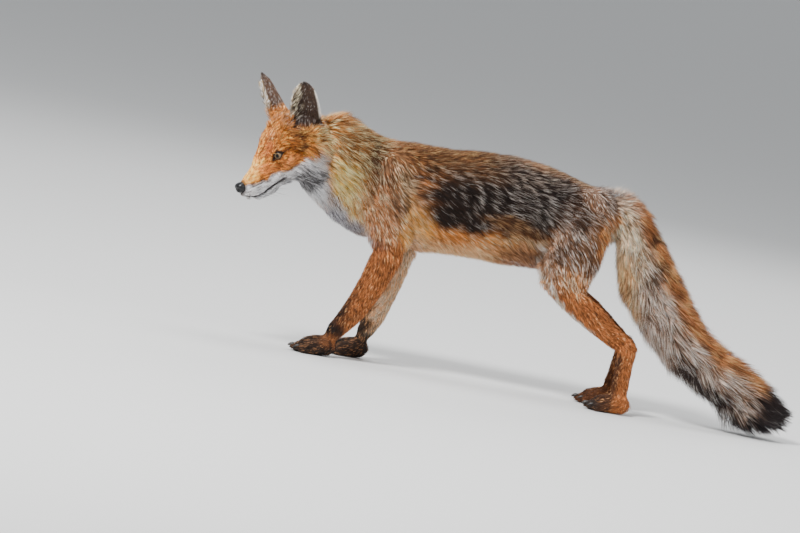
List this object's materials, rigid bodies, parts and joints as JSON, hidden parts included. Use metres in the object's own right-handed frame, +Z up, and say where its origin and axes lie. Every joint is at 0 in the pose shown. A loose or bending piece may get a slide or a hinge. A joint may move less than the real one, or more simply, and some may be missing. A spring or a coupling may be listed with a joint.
{
  "type": "red fox",
  "caption": "Life-size still model of a standing red fox in profile, forelegs reaching forward, head turned slightly aside, brush held low behind.",
  "frame": {"origin": "on the floor under the middle of the animal's bounding box", "axes": "+X from the nose to the tail, +Y towards the animal's right side, +Z up"},
  "size_m": [0.905, 0.158, 0.417],
  "materials": {
    "red_coat": "orange-red fox hair",
    "grizzled_coat": "brown-black hair with silver tips",
    "dark_coat": "short black-brown hair",
    "white_coat": "short white hair",
    "nose_skin": "damp black skin",
    "eye": "wet amber eye",
    "claw": "dark horn"
  },
  "bodies": {
    "root": {"head": "red_coat", "neck": "red_coat", "left_shoulder": "red_coat", "right_shoulder": "red_coat", "left_forearm": "red_coat", "right_forearm": "red_coat", "left_thigh": "red_coat", "right_thigh": "red_coat", "left_shank": "red_coat", "right_shank": "red_coat", "trunk": "grizzled_coat", "tail_base": "grizzled_coat", "tail_middle": "grizzled_coat", "tail_tip": "grizzled_coat", "left_ear": "dark_coat", "right_ear": "dark_coat", "left_forepaw": "dark_coat", "right_forepaw": "dark_coat", "left_hind_foot": "dark_coat", "right_hind_foot": "dark_coat", "lower_jaw": "white_coat", "nose": "nose_skin", "left_eye": "eye", "right_eye": "eye", "left_forepaw_claw_1": "claw", "left_forepaw_claw_2": "claw", "left_forepaw_claw_3": "claw", "left_forepaw_claw_4": "claw", "right_forepaw_claw_1": "claw", "right_forepaw_claw_2": "claw", "right_forepaw_claw_3": "claw", "right_forepaw_claw_4": "claw", "left_hind_foot_claw_1": "claw", "left_hind_foot_claw_2": "claw", "left_hind_foot_claw_3": "claw", "left_hind_foot_claw_4": "claw", "right_hind_foot_claw_1": "claw", "right_hind_foot_claw_2": "claw", "right_hind_foot_claw_3": "claw", "right_hind_foot_claw_4": "claw"}
  },
  "joints": []
}
